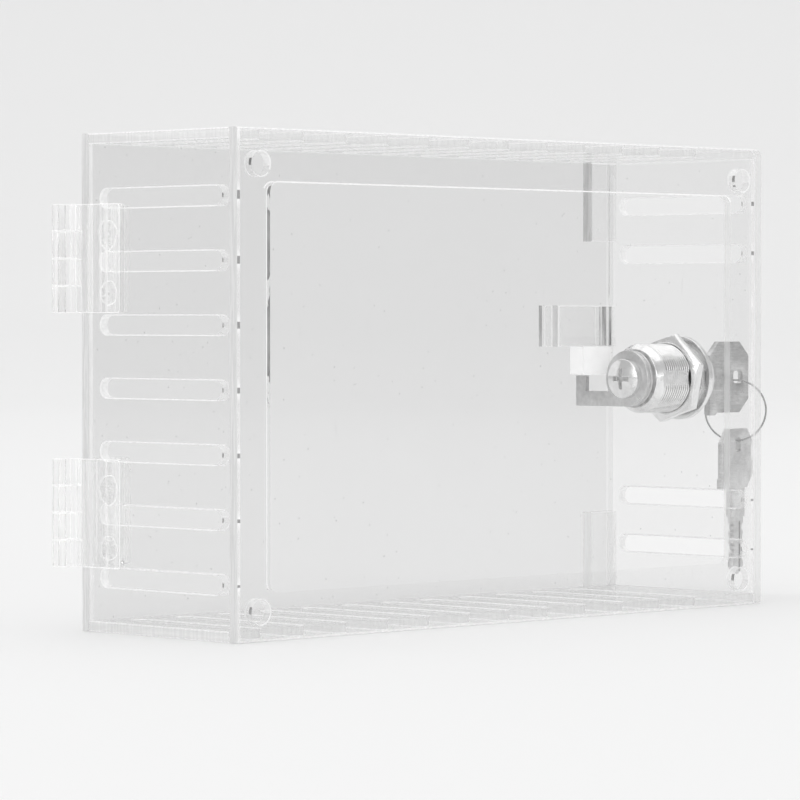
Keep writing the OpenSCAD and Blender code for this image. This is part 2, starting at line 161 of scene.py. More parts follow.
# Painted shade of the slot ends seen through the glued joints, as marks with painted highlights round
# them: strip across the joint, nearest and farthest mark from the middle, half heights at the two heights
# between which they grow
HINGE_MARK_STRIP = (-1.4 * MM, 1 * MM)
HINGE_MARK_REACH = (-1 * MM, 60 * MM)
HINGE_MARK_SIZES = (0.35 * MM, 1.2 * MM)
LOCK_MARK_STRIP = (-1 * MM, 1.6 * MM)
LOCK_MARK_REACH = (30 * MM, 60 * MM)
LOCK_MARK_SIZES = (0.25 * MM, 0.65 * MM)
MARKS_LOW = -55 * MM
MARKS_HIGH = 52 * MM
HALO_NEAR = 0.5 * MM
HALO_FAR = 3 * MM

# Hinge pin: radius of the tiny flat at its tips, and steps round it
PIN_TIP_R = 0.02 * MM
PIN_STEPS = 32

# Glue patch: steps round it, and the inner edge of its bright rim as a share of its radius
GLUE_STEPS = 48
GLUE_RIM = 0.95

# Glue patches of a hinge: distance from the leaf's far edge, height from its middle, radii
GLUE_PATCHES = (
    ("top", 6.8 * MM, 6.6 * MM, (3.7 * MM, 4.3 * MM)),
    ("bottom", 6.6 * MM, -9.7 * MM, (3.5 * MM, 3.4 * MM)),
)

# Back plate's screw holes
HOLE_SPACING_X = 201.5 * MM
HOLE_SPACING_Z = 122.2 * MM
SCREW_HOLE_R = 3.4 * MM

# Outline of the lock's head in millimetres, as radius and place behind the side wall's outer face:
# hole in the face, face, cone and rim, with their eased corners
HEAD_OUTLINE = (
    (7.25, -3.5), (7.25, -4.85), (7.3, -4.95), (7.4, -5.0), (10.75, -5.0), (10.92, -4.93), (11.0, -4.75),
    (12.26, -1.98), (12.36, -1.84), (12.5, -1.8), (12.9, -1.8), (13.04, -1.74), (13.1, -1.6),
    (13.1, -0.2), (13.02, -0.07), (12.9, -0.03), (10.75, -0.03),
)

# Barrel of the cam lock: radii and lengths behind the outer face, then its thread. A groove rises
# by its depth times the slope per pitch, fades out before the taper and has painted shade below the root
BARREL_R = 10.75 * MM
BARREL_LENGTH = 20.3 * MM
BARREL_END_R = 9.2 * MM
BARREL_BORE_R = 6.05 * MM
THREAD_END = 18.2 * MM
THREAD_PITCH = 1.0 * MM
THREAD_DEPTH = 0.45 * MM
THREAD_ROWS = 8
THREAD_FADE = 0.8 * MM
THREAD_PLAIN = 0.3 * MM
THREAD_SLOPE = 2.4
THREAD_ROOT = 0.55 * THREAD_DEPTH

# Barrel's two flats, steps round it, and ease of its end and of its taper
FLAT_HALF = 10.2 * MM
ROUND_STEPS = 120
BARREL_EASE = 0.1 * MM
TAPER_EASE = 0.08 * MM

# Cam screw: height of its dome, and depth and length of its cross recess
SCREW_DOME = 1.2 * MM
RECESS_DEPTH = 1.9 * MM
RECESS_LENGTH = 6.4 * MM

# Keys: blade, thickness, grooves and turn of the spare key
BLADE_LENGTH = 18.2 * MM
KEY_THICKNESS = 2.0 * MM
GROOVE_OFFSET = 0.9 * MM
GROOVE_WIDTH = 1.2 * MM
GROOVE_DEPTH = 0.5 * MM
GROOVE_START = 1.5 * MM
SPARE_YAW = math.radians(106)

# Split ring of the keys: radii, distance of its turns in wires, half the angle of its step and of
# its gap, turn, steps along and round the wire, and the thinner end as a share of the radius
RING_R = 9.7 * MM
RING_WIRE_R = 0.27 * MM
TURN_DISTANCE = 1.03
RING_HALF_STEP = 0.35
RING_YAW = math.radians(45)
RING_STEPS = 150
WIRE_STEPS = 10
WIRE_END = 0.85

# Materials of the side walls: face, cut wall, rim, glued joint, back joint, slot's inner end, front
# end of the sheet, slot's corner and slot's front end
SIDE_WALL_FACES = {
    "hinge_wall": ("clear", "cut", "rim", "joint", "joint", "hinge_slot_end", "front_end",
                   "slot_corner", "slot_front"),
    "lock_wall": ("lock_side", "cut", "rim", "joint", "lock_joint", "lock_slot_end", "lock_front_end",
                  "slot_corner", "slot_front"),
}

X_AXIS = Vector((1, 0, 0))
Y_AXIS = Vector((0, 1, 0))
Z_AXIS = Vector((0, 0, 1))


# Materials

def add(tree, kind, inputs=None, **settings):
    """A node of that kind, with its settings and its inputs as plain values or sockets."""
    n = tree.nodes.new(kind)
    for key, value in settings.items():
        setattr(n, key, value)
    for key, value in (inputs or {}).items():
        if isinstance(value, bpy.types.NodeSocket):
            tree.links.new(value, n.inputs[key])
        else:
            n.inputs[key].default_value = value
    return n


def new_material(name):
    """An empty node material and its tree."""
    mat = bpy.data.materials.new(name)
    mat.use_nodes = True
    mat.node_tree.nodes.clear()
    return mat, mat.node_tree


def surface(tree, shader):
    """Ends a material with that shader node."""
    add(tree, "ShaderNodeOutputMaterial", {"Surface": shader.outputs[0]})


def principled(tree, inputs):
    return add(tree, "ShaderNodeBsdfPrincipled", inputs)


def grey(value):
    return (value, value, value)


def place(tree, scale=(1, 1, 1)):
    """Object coordinates in metres, stretched by scale."""
    coords = add(tree, "ShaderNodeTexCoord").outputs["Object"]
    return add(tree, "ShaderNodeMapping", {"Vector": coords, "Scale": scale}).outputs["Vector"]


def along(tree, axis):
    """Distance along an object axis."""
    return add(tree, "ShaderNodeSeparateXYZ", {0: place(tree)}).outputs[axis]


def noise(tree, vector, scale, detail=3.0, roughness=0.5):
    """Cloudy values round 0.5 at the given scale."""
    return add(tree, "ShaderNodeTexNoise", {
        "Vector": vector, "Scale": scale, "Detail": detail, "Roughness": roughness}).outputs["Fac"]


def ramp(tree, value, from_low, to_low, from_high, to_high):
    """value mapped in a straight line and held at both ends."""
    return add(tree, "ShaderNodeMapRange", {
        "Value": value, "From Min": from_low, "From Max": from_high,
        "To Min": to_low, "To Max": to_high}).outputs["Result"]


def spots(tree, vector, scale, radius):
    """1 inside small round spots scattered at the given scale, else 0."""
    cells = add(tree, "ShaderNodeTexVoronoi", {"Vector": vector, "Scale": scale, "Randomness": 1.0})
    return ramp(tree, cells.outputs["Distance"], radius, 1.0, radius * 1.6, 0.0)


def math_node(tree, operation, first, second=0.0, clamp=True):
    """Two values or sockets joined by an operation, held between 0 and 1 unless clamp is off."""
    return add(tree, "ShaderNodeMath", {0: first, 1: second}, operation=operation, use_clamp=clamp).outputs[0]


def between(tree, value, start, end):
    """1 between start and end, with soft ends, else 0."""
    after = ramp(tree, value, start - SOFT_EDGE, 0.0, start + SOFT_EDGE, 1.0)
    before = ramp(tree, value, end - SOFT_EDGE, 1.0, end + SOFT_EDGE, 0.0)
    return math_node(tree, "MULTIPLY", after, before)


def tint(tree, fac, low, high):
    """A colour between two colours or colour sockets, by fac."""
    low, high = ((*c, 1) if isinstance(c, tuple) else c for c in (low, high))
    mix = add(tree, "ShaderNodeMix", {"A": low, "B": high, "Factor": fac}, data_type="RGBA")
    return mix.outputs["Result"]


def bump(tree, height, strength, distance):
    """Normals of a surface with that relief."""
    return add(tree, "ShaderNodeBump", {
        "Height": height, "Strength": strength, "Distance": distance}).outputs["Normal"]


def mixed(tree, fac, low, high):
    """Shader between two shader nodes, by fac."""
    return add(tree, "ShaderNodeMixShader", {0: fac, 1: low.outputs[0], 2: high.outputs[0]})


def unbent(tree, through):
    """Plain see-through that lets that share of light pass."""
    return add(tree, "ShaderNodeBsdfTransparent", {"Color": (*grey(through), 1)})


def film(tree, through, skin, show):
    """Ends a material: its skin lies over plain see-through and shows by the factor show."""
    surface(tree, mixed(tree, show, unbent(tree, through), skin))


def painted_slot_shade(tree, strip, middle, pitch, phase, reach, sizes):
    """Painted shade of the slot ends seen through a glued joint: dark marks with halos of painted highlight,
    one behind every slot's end.

    strip is the joint's place along x, middle and pitch are those of the slots, phase is the
    share of a pitch by which the marks are shifted, reach the nearest and farthest mark from
    the middle, and sizes the marks' half heights low down and high up."""
    height = along(tree, "Z")
    shifted = math_node(tree, "ADD", height, phase * pitch - middle, clamp=False)
    from_mark = math_node(tree, "PINGPONG", shifted, pitch / 2, clamp=False)
    half = ramp(tree, height, MARKS_LOW, sizes[0], MARKS_HIGH, sizes[1])
    past_end = math_node(tree, "SUBTRACT", from_mark, half, clamp=False)
    off_middle = math_node(tree, "SUBTRACT", height, middle, clamp=False)
    away = math_node(tree, "ABSOLUTE", off_middle, clamp=False)
    inside = between(tree, along(tree, "X"), *strip)
    here = math_node(tree, "MULTIPLY", between(tree, away, *reach), inside)
    # dark is the painted shade of a slot's end, halo the painted highlight round it
    dark = math_node(tree, "MULTIPLY", ramp(tree, past_end, -SOFT_EDGE, 0.85, SOFT_EDGE, 0.0), here)
    halo = math_node(tree, "MULTIPLY", ramp(tree, past_end, HALO_NEAR, 0.6, HALO_FAR, 0.3), inside)
    return dark, halo


def see_through(name, through, haze, dust=0.25, edge_gain=0.5, tone=0.78, rough=0.06, glow=0.0,
                marks=None):
    """Clear plastic: lets light through and gains a gloss towards grazing views.

    through is the share let through by one face, haze the share that the surface itself shows,
    and dust the strength of its specks and scratches. tone and rough are those of the surface.
    glow stands for the light that the sheet leads to this face, and marks go to painted_slot_shade."""
    mat, tree = new_material(name)
    body = place(tree)
    cloud = ramp(tree, noise(tree, body, 26, 4), 0.3, haze * 0.6, 0.75, haze * 1.5)
    specks = math_node(tree, "MULTIPLY", spots(tree, body, 210, 0.045), dust)
    scratches = ramp(tree, noise(tree, place(tree, (420, 420, 90)), 1.0, 1), 0.72, 0.0, 0.85, dust * 0.2)
    facing = add(tree, "ShaderNodeLayerWeight", {"Blend": 0.5}).outputs["Facing"]
    gloss = math_node(tree, "MULTIPLY", math_node(tree, "POWER", facing, 5.0, clamp=False), edge_gain)
    marred = math_node(tree, "ADD", scratches, gloss)
    show = math_node(tree, "ADD", math_node(tree, "ADD", cloud, specks), marred)
    shade = tint(tree, noise(tree, body, 90, 3), grey(tone), grey(min(tone + 0.1, 1)))
    # Where marks are given: painted shade of the slot ends, with painted highlights round it
    if marks:
        dark, halo = painted_slot_shade(tree, *marks)
        show = math_node(tree, "MAXIMUM", show, math_node(tree, "MAXIMUM", dark, halo))
        shade = tint(tree, dark, tint(tree, halo, shade, grey(1.0)), grey(0.12))
    uneven = ramp(tree, noise(tree, body, 60, 3), 0.3, rough, 0.7, rough + 0.07)
    skin = principled(tree, {
        "Base Color": shade, "Emission Color": shade, "Emission Strength": glow,
        "Roughness": uneven, "IOR": SHEET_IOR, "Coat Weight": 0.3})
    film(tree, through, skin, show)
    return mat


def banded(name, axis, face, bands, scale, high_up=None):
    """A wall that is clear but for painted bands of bent light across an axis, each (start, end, low, high,
    cover).

    start and end count from face, low and high are a band's greys, cover its share shown.
    high_up breaks the dark ones up and limits them to the heights above it."""
    mat, tree = new_material(name)
    lines = noise(tree, place(tree, scale), 1.0, 3)
    shade = grey(0.9)
    show = ramp(tree, lines, 0.3, 0.01, 0.75, 0.05)
    for start, end, low, high, cover in bands:
        mask = between(tree, along(tree, axis), face + start, face + end)
        if high_up is not None and high < DARK_BAND:
            above = ramp(tree, along(tree, "Z"), high_up - DARK_BAND_FADE, 0.0, high_up, 1.0)
            broken = ramp(tree, lines, 0.4, 0.1, 0.42, 1.0)
            mask = math_node(tree, "MULTIPLY", math_node(tree, "MULTIPLY", mask, above), broken)
        lined = tint(tree, ramp(tree, lines, 0.35, 0.0, 0.65, 1.0), grey(low), grey(high))
        shade = tint(tree, mask, shade, lined)
        show = math_node(tree, "MAXIMUM", show, math_node(tree, "MULTIPLY", mask, cover))
    skin = principled(tree, {
        "Base Color": shade, "Emission Color": shade, "Emission Strength": 0.16,
        "Roughness": 0.3, "IOR": SHEET_IOR})
    film(tree, CUT_THROUGH, skin, show)
    return mat


def cut_edge(name, low, high, cover, scale, glow=0.0, change=(0.35, 0.65)):
    """A laser-cut edge: pale, with fine lines across the sheet, partly see-through.

    low and high are its greys, which change where the lines' values pass through change, and
    cover is its share shown. glow stands for the light that the sheet leads to its edges."""
    mat, tree = new_material(name)
    lines = noise(tree, place(tree, scale), 1.0, 2)
    skin = principled(tree, {
        "Base Color": tint(tree, ramp(tree, lines, change[0], 0, change[1], 1), grey(low), grey(high)),
        "Emission Color": (1, 1, 1, 1), "Emission Strength": glow, "IOR": SHEET_IOR,
        "Roughness": ramp(tree, lines, 0.3, 0.12, 0.7, 0.4),
        "Normal": bump(tree, lines, 0.12, 0.0002)})
    film(tree, CUT_THROUGH, skin, ramp(tree, lines, 0.3, cover * 0.93, 0.7, cover))
    return mat


def metal(name, low, high, rough, grain=(1, 1, 1), grain_scale=400.0, pit=0.1, dirt=0.0):
    """Plated metal with grain, uneven gloss and a little grime.

    low and high are its colours, grain stretches the grain, pit is the depth of its relief."""
    mat, tree = new_material(name)
    grain_mask = noise(tree, place(tree, grain), grain_scale, 3)
    stain = noise(tree, place(tree), 160, 4, 0.6)
    clean = ramp(tree, stain, 0.35, 1 - dirt, 0.6, 1)
    shade = math_node(tree, "MULTIPLY", ramp(tree, grain_mask, 0.3, 0.55, 0.7, 1.0), clean)
    surface(tree, principled(tree, {
        "Metallic": 1.0, "Base Color": tint(tree, shade, low, high),
        "Roughness": ramp(tree, stain, 0.3, rough * 1.5, 0.7, rough * 0.75),
        "Normal": bump(tree, grain_mask, pit, 0.00005)}))
    return mat


def glass(name, tone, rough, wave, bend, straight=0.0, streaks=0.0):
    """Clear moulded plastic that bends light by the index bend, with an uneven surface.

    wave is the strength of its unevenness, straight the share of light that passes unbent and
    streaks the strength of its bright lines, painted highlights of bent light that glow a little."""
    mat, tree = new_material(name)
    ripple = noise(tree, place(tree), 300, 2)
    bent = principled(tree, {
        "IOR": bend, "Transmission Weight": 1.0, "Base Color": (*grey(tone), 1),
        "Roughness": ramp(tree, ripple, 0.3, rough, 0.7, rough * 2),
        "Normal": bump(tree, ripple, wave, 0.0002)})
    in_shadow = add(tree, "ShaderNodeLightPath").outputs["Is Shadow Ray"]
    plain = mixed(tree, math_node(tree, "MAXIMUM", in_shadow, straight), bent, unbent(tree, CUT_THROUGH))
    # Painted highlights: glowing white streaks that stand for light bent in the moulding
    lines = ramp(tree, noise(tree, place(tree, (650, 650, 9)), 1.0, 2), 0.5, 0.0, 0.62, streaks)
    lit = principled(tree, {
        "Base Color": (1, 1, 1, 1), "Roughness": 0.3,
        "Emission Color": (1, 1, 1, 1), "Emission Strength": 0.2})
    surface(tree, mixed(tree, lines, plain, lit))
    return mat


def bubbly(name):
    """Dried glue: clear, with bright seams between its many small bubbles, lifted by a faint painted glow."""
    mat, tree = new_material(name)
    body = place(tree)
    cells = add(tree, "ShaderNodeTexVoronoi", {"Vector": body, "Scale": BUBBLE_SCALE, "Randomness": 1.0},
                feature="DISTANCE_TO_EDGE")
    seams = ramp(tree, cells.outputs["Distance"], 0.04, 0.7, 0.14, 0.0)
    patches = ramp(tree, noise(tree, body, 420, 3), 0.4, 0.3, 0.6, 0.9)
    # The faint glow of the skin is painted light
    skin = principled(tree, {
        "Base Color": tint(tree, noise(tree, body, 900, 2), grey(0.82), grey(1.0)),
        "Emission Color": (1, 1, 1, 1), "Emission Strength": 0.08, "IOR": SHEET_IOR,
        "Roughness": 0.2, "Normal": bump(tree, seams, 0.4, 0.0002)})
    film(tree, 0.96, skin, math_node(tree, "ADD", math_node(tree, "MULTIPLY", seams, patches), 0.06))
    return mat


def materials():
    """All materials by name."""
    catch_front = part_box("catch_block")[0].y
    hinge_face, lock_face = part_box("hinge_wall")[1].x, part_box("lock_wall")[0].x
    inner_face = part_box("lock_wall")[1].x
    hinge_strip = [hinge_face + distance for distance in HINGE_MARK_STRIP]
    lock_strip = [lock_face + distance for distance in LOCK_MARK_STRIP]
    # Painted shade of the slot ends seen through the joints, with painted highlights round it
    hinge_painted_shade = (hinge_strip, HINGE_SLOT_MIDDLE, HINGE_SLOT_PITCH, 0.0, HINGE_MARK_REACH, HINGE_MARK_SIZES)
    lock_painted_shade = (lock_strip, LOCK_SLOT_MIDDLE, LOCK_SLOT_PITCH, 0.5, LOCK_MARK_REACH, LOCK_MARK_SIZES)
    vertical, fine, even = (900, 900, 60), (500, 500, 130), (400, 400, 400)
    lengthwise, coarse, long_streaks = (500, 500, 60), (300, 300, 130), (420, 420, 7)
    along_blade = (1, 1, 6)
    return {
        "clear": see_through("clear_sheet_face", CLEAR_FACE, 0.012),
        "plate": see_through("back_plate_face", PLATE_FACE, 0.012),
        "plate_with_painted_shade": see_through("back_plate_outer_face", PLATE_FACE, 0.012, glow=0.25, marks=hinge_painted_shade),
        "door": see_through("door_sheet_face", DOOR_FACE, 0.02),
        "lock_side": see_through("lock_side_face", LOCK_SIDE_FACE, 0.025, tone=0.85),
        "joint": see_through("glued_joint", 0.99, 0.03, dust=0.5, edge_gain=0.0, tone=0.9),
        "lock_joint": see_through("lock_wall_joint", 0.99, 0.05, edge_gain=0.0, tone=0.9, glow=0.15,
                                  marks=lock_painted_shade),
        "cut": cut_edge("cut_edge_wall", 0.89, 0.93, 0.36, vertical),
        "tinted_cut": cut_edge("cut_edge_band", 0.74, 0.82, 0.95, vertical),
        "slot_corner": cut_edge("slot_corner", 0.93, 1.0, 0.4, even, 0.06),
        "slot_front": cut_edge("slot_front_end", 0.93, 1.0, 0.75, even, 0.08),
        "hole_wall": cut_edge("screw_hole_wall", 0.93, 1.0, 0.65, even, 0.08),
        # Pale metal with a faint glow in the screw's recess and on the barrel's end: painted light against
        # the shade there
        "recess": cut_edge("recess_painted_light", 0.4, 0.62, 1.0, even, 0.1),
        "rim": cut_edge("cut_edge_rim", 0.93, 0.98, 0.85, vertical, 0.06),
        "bright_rim": cut_edge("opening_rim", 0.97, 1.0, 0.9, vertical, 0.12),
        "front_end": banded("hinge_wall_end", "X", hinge_face, [HINGE_FRONT_BAND], vertical),
        "lock_front_end": banded(
            "lock_wall_end", "X", inner_face, [LOCK_FRONT_BAND], vertical, DARK_BAND_BOTTOM),
        "hinge_slot_end": banded("hinge_slot_end", "X", hinge_face, [HINGE_SLOT_BAND], even),
        "lock_slot_end": banded("lock_slot_end", "X", inner_face, [LOCK_SLOT_BAND], even),
        "hole_mark": banded("screw_hole_mark", "Y", 0, [SCREW_HOLE_BAND], even),
        "opening_side": banded("opening_side", "Y", 0, OPENING_BANDS, coarse, DARK_BAND_BOTTOM),
        "block": see_through("block_face", 0.99, 0.1, tone=0.88, glow=0.08),
        # The upper stop block's ends: painted bent light, dark on one and streaked dark and bright on the
        # other
        "dark_block": cut_edge("dark_block_end", 0.48, 0.62, 0.8, lengthwise),
        "streaks": cut_edge("streaked_block_end", 0.3, 0.95, 0.5, long_streaks, change=(0.36, 0.44)),
        "block_end": banded("catch_block_end", "Y", catch_front, BLOCK_INNER_BANDS, fine),
        "block_back_end": banded("catch_block_back_end", "Y", catch_front, BLOCK_OUTER_BANDS, fine),
        "hazy": see_through("hazy_sheet", 0.95, 0.6, tone=0.9, rough=0.4, glow=0.22),
        "hinge": glass("hinge_plastic", 0.99, 0.02, 0.15, 1.16, straight=0.65, streaks=0.28),
        "hinge_edge": cut_edge("hinge_edge", 0.95, 1.0, 0.8, (200, 200, 200), 0.2),
        "glue": bubbly("glue_patch"),
        "pin": glass("hinge_pin_plastic", 0.97, 0.05, 0.2, 1.2),
        "chrome": metal("chrome_plate", grey(0.7), grey(0.95), 0.17, dirt=0.15),
        # Darker metal deep in the thread's groove: painted shade
        "root": metal("thread_root", grey(0.3), grey(0.5), 0.3, dirt=0.3),
        "dull": metal("dull_steel", grey(0.5), grey(0.74), 0.36, (1, 1, 1), 900.0, 0.3, 0.3),
        "screw": metal("screw_plate", grey(0.65), grey(0.95), 0.16, dirt=0.15),
        "cast": metal("cast_plug", (0.62, 0.62, 0.61), (0.82, 0.81, 0.8), 0.35),
        "brass": metal("wafer_brass", (0.5, 0.36, 0.14), (0.75, 0.58, 0.28), 0.3, dirt=0.3),
        "key": metal("key_nickel", grey(0.34), grey(0.74), 0.36, along_blade, 350.0, 0.25, 0.5),
        "spare": metal("spare_key_nickel", grey(0.54), grey(0.84), 0.4, along_blade, 350.0, 0.25, 0.35),
        "wire": metal("ring_wire", grey(0.3), grey(0.5), 0.25),
    }


# Meshes

def put(name, data):
    """Object of that name and data, in the scene."""
    obj = bpy.data.objects.new(name, data)
    SCENE.collection.objects.link(obj)
    return obj


def outward(mesh):
    """Turns the normals of a closed mesh outwards."""
    shape = bmesh.new()
    shape.from_mesh(mesh)
    bmesh.ops.recalc_face_normals(shape, faces=shape.faces)
    shape.to_mesh(mesh)
    shape.free()


def finish_mesh(name, mesh, mats, body, replaced=(), smooth_angle=SMOOTH_ANGLE):
    """Object of a mesh that is already in place, with its materials and body. It hides the CAD nodes that it
    replaces.
    """
    for m in mats:
        mesh.materials.append(m)
    mesh.polygons.foreach_set("use_smooth", [True] * len(mesh.polygons))
    mesh.set_sharp_from_angle(angle=math.radians(smooth_angle))
    obj = put(name, mesh)
    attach(obj, body)
    if replaced:
        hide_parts(*replaced)
    return obj


def body_of(node):
    """Name of the body that carries a CAD node."""
    for body, members in frame["record"]["behaviour"]["bodies"].items():
        if node in members:
            return body


def plane_frame(normal):
    """Columns u, v, n of a right-handed frame whose n is the normal."""
    n = normal.normalized()
    u = Vector((0, 0, 1)).cross(n)
    u = u.normalized() if u.length > 0.5 else Vector((1, 0, 0))
    return Matrix((u, n.cross(u), n)).transposed()


def outline_loops(node, axes, level):
    """Closed outlines of a CAD node's flat face at that level along the third axis, as 2D points."""
    mesh = NODES[node].data
    keys, points = {}, []
    local = []
    for v in mesh.vertices:
        p = axes.transposed() @ v.co
        key = (round(p.x, 6), round(p.y, 6), round(p.z, 6))
        if key not in keys:
            keys[key] = len(points)
            points.append(p)
        local.append(keys[key])
    used = {}
    for poly in mesh.polygons:
        ring = [local[i] for i in poly.vertices]
        if all(abs(points[i].z - level) < TINY for i in ring):
            for a, b in zip(ring, ring[1:] + ring[:1]):
                used[frozenset((a, b))] = used.get(frozenset((a, b)), 0) + 1
    after = {}
    for pair, count in used.items():
        if count == 1 and len(pair) == 2:
            a, b = pair
            after.setdefault(a, []).append(b)
            after.setdefault(b, []).append(a)
    loops, seen = [], set()
    for start in after:
        if start in seen:
            continue
        loop, here, last = [], start, None
        while here not in seen:
            seen.add(here)
            loop.append((points[here].x, points[here].y))
            onward = [k for k in after[here] if k != last and k not in seen]
            last = here
            if onward:
                here = onward[0]
        loops.append(loop)
    return loops


def face_kind(lean):
    """0 for a flat face, 1 for a cut wall and 2 for a rim, by the share of its normal along z."""
    if lean > 0.99:
        return 0
    return 1 if lean < 0.1 else 2


def filled_curve(name, loops, thickness, bevel, rounds):
    """Mesh of a flat shape with holes and softened edges, centred on its own plane."""
    curve = bpy.data.curves.new(name, "CURVE")
    curve.dimensions = "2D"
    curve.fill_mode = "BOTH"
    curve.extrude = thickness / 2 - bevel
    curve.bevel_depth = bevel
    curve.bevel_resolution = rounds
    curve.offset = -bevel
    for loop in loops:
        spline = curve.splines.new("POLY")
        spline.points.add(len(loop) - 1)
        for point, (x, y) in zip(spline.points, loop):
            point.co = (x, y, 0, 1)
        spline.use_cyclic_u = True
    holder = put(name, curve)
    bpy.context.view_layer.update()
    graph = bpy.context.evaluated_depsgraph_get()
    mesh = bpy.data.meshes.new_from_object(holder.evaluated_get(graph))
    bpy.data.objects.remove(holder)
    bpy.data.curves.remove(curve)
    weld = bmesh.new()
    weld.from_mesh(mesh)
    bmesh.ops.remove_doubles(weld, verts=weld.verts, dist=TINY)
    bmesh.ops.recalc_face_normals(weld, faces=weld.faces)
    weld.to_mesh(mesh)
    weld.free()
    mesh.materials.clear()
    return mesh


def slab(node, normal, bevel, mats, rounds=0, paint=None, cuts=()):
    """Softened copy of a flat CAD node. The first three of mats are its face, cut wall and rim.

    paint gives another material's number for a wall by its centre and normal, or None."""
    axes = plane_frame(normal)
    levels = [(axes.transposed() @ v.co).z for v in NODES[node].data.vertices]
    low, high = min(levels), max(levels)
    loops = outline_loops(node, axes, high)
    mesh = filled_curve(node + "_shape", loops, high - low, bevel, rounds)
    for poly in mesh.polygons:
        poly.material_index = face_kind(abs(poly.normal.z))
    mesh.transform(Matrix.Translation((0, 0, (low + high) / 2)))
    mesh.transform(axes.to_4x4())
    for poly in mesh.polygons:
        special = paint(poly.center, poly.normal) if paint else None
        if special is not None:
            poly.material_index = special
    obj = finish_mesh(node + "_finish", mesh, mats, body_of(node), [node])
    for cutter in cuts:
        carve(obj, cutter)


def carve(obj, cutter):
    """Cuts the cutter's mesh out of obj and removes the cutter."""
    mod = obj.modifiers.new("carve", "BOOLEAN")
    mod.operation = "DIFFERENCE"
    mod.solver = "EXACT"
    mod.object = cutter
    bpy.context.view_layer.update()
    graph = bpy.context.evaluated_depsgraph_get()
    mesh = bpy.data.meshes.new_from_object(obj.evaluated_get(graph))
    obj.modifiers.remove(mod)
    mesh.set_sharp_from_angle(angle=math.radians(SMOOTH_ANGLE))
    old = obj.data
    obj.data = mesh
    bpy.data.meshes.remove(old)
    bpy.data.objects.remove(cutter)


def softened(node, width, mats, paint=None):
    """Copy of a CAD node with its sharp edges rounded by width. The last of mats is for them.

    paint gives another material's number for a face by its centre and normal, or None."""
    shape = bmesh.new()
    shape.from_mesh(NODES[node].data)
    bmesh.ops.remove_doubles(shape, verts=shape.verts, dist=TINY)
    bmesh.ops.dissolve_limit(
        shape, angle_limit=math.radians(FLAT_ANGLE), verts=shape.verts, edges=shape.edges, delimit={"NORMAL"})
    sharp = [e for e in shape.edges
             if len(e.link_faces) == 2 and e.calc_face_angle(0) > math.radians(SHARP_ANGLE)]
    bmesh.ops.bevel(
        shape, geom=sharp, offset=width, offset_type="OFFSET", segments=BEVEL_STEPS,
        profile=0.5, affect="EDGES", clamp_overlap=True, material=len(mats) - 1)
    mesh = bpy.data.meshes.new(node + "_shape")
    shape.to_mesh(mesh)
    shape.free()
    for poly in mesh.polygons:
        flat = poly.material_index < len(mats) - 1
        special = paint(poly.center, poly.normal) if paint and flat else None
        if special is not None:
            poly.material_index = special
    finish_mesh(node + "_finish", mesh, mats, body_of(node), [node], 30)


def lathe(rings, steps):
    """Verts and faces of rings swept round the local z axis.

    rings is a closed list of (radius, z), or functions of the angle that return them."""
    verts, faces = [], []
    for s in range(steps):
        angle = 2 * math.pi * s / steps
        for ring in rings:
            r, z = ring(angle) if callable(ring) else ring
            verts.append((r * math.cos(angle), r * math.sin(angle), z))
    count = len(rings)
    for s in range(steps):
        for k in range(count):
            a, b = s * count + k, s * count + (k + 1) % count
            c, d = ((s + 1) % steps) * count + (k + 1) % count, ((s + 1) % steps) * count + k
            faces.append((a, b, c, d))
    return verts, faces


# Studio

def camera():
    """The photograph's camera. Returns the direction that it looks in."""
    data = bpy.data.cameras.new("photo_camera")
    data.sensor_width = SENSOR_MM
    data.lens = FOCAL_PIXELS * SENSOR_MM / PICTURE_PIXELS
    data.clip_start = 0.05
    data.clip_end = 50
    obj = put("photo_camera", data)
    level = math.cos(CAMERA_PITCH)
    aim = Vector((-math.sin(CAMERA_YAW) * level, -math.cos(CAMERA_YAW) * level, -math.sin(CAMERA_PITCH)))
    obj.matrix_world = Matrix.Translation(CAMERA_PLACE) @ aim.to_track_quat("-Z", "Y").to_matrix().to_4x4()
    SCENE.camera = obj
    return aim


def backdrop(aim):
    """Pale floor that runs back from the box and curves up into a wall."""
    ahead = Vector((aim.x, aim.y, 0)).normalized()
    across = Vector((-ahead.y, ahead.x, 0)) * BACKDROP_HALF_WIDTH
    floor_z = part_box("bottom_wall")[0].z - FLOOR_GAP
    profile = [(FLOOR_NEAR, 0), (0, 0), (FLOOR_FAR, 0)]
    for i in range(1, BEND_STEPS + 1):
        turn = i / BEND_STEPS * math.pi / 2
        profile.append((FLOOR_FAR + BEND_R * math.sin(turn), BEND_R * (1 - math.cos(turn))))
    profile.append((FLOOR_FAR + BEND_R, WALL_TOP))
    verts = [ahead * distance + across * side + Z_AXIS * (floor_z + height)
             for side in (-1, 1) for distance, height in profile]
    n = len(profile)
    faces = [(i, i + 1, n + i + 1, n + i) for i in range(n - 1)]
    mesh = bpy.data.meshes.new("backdrop")
    mesh.from_pydata(verts, [], faces)
    mesh.polygons.foreach_set("use_smooth", [True] * len(mesh.polygons))
    mat, tree = new_material("pale_floor")
    rise = ramp(tree, along(tree, "Z"), floor_z, 0.0, floor_z + HORIZON_RISE, 0.93)
    mottle = ramp(tree, noise(tree, place(tree), 1.3, 2), 0.3, 0.0, 0.7, 0.07)
    tone = tint(tree, math_node(tree, "ADD", rise, mottle), grey(FLOOR_TONE), grey(WALL_TONE))
    surface(tree, principled(tree, {"Base Color": tone, "Roughness": 0.7, "Specular IOR Level": 0.2}))
    mesh.materials.append(mat)
    put("backdrop", mesh)


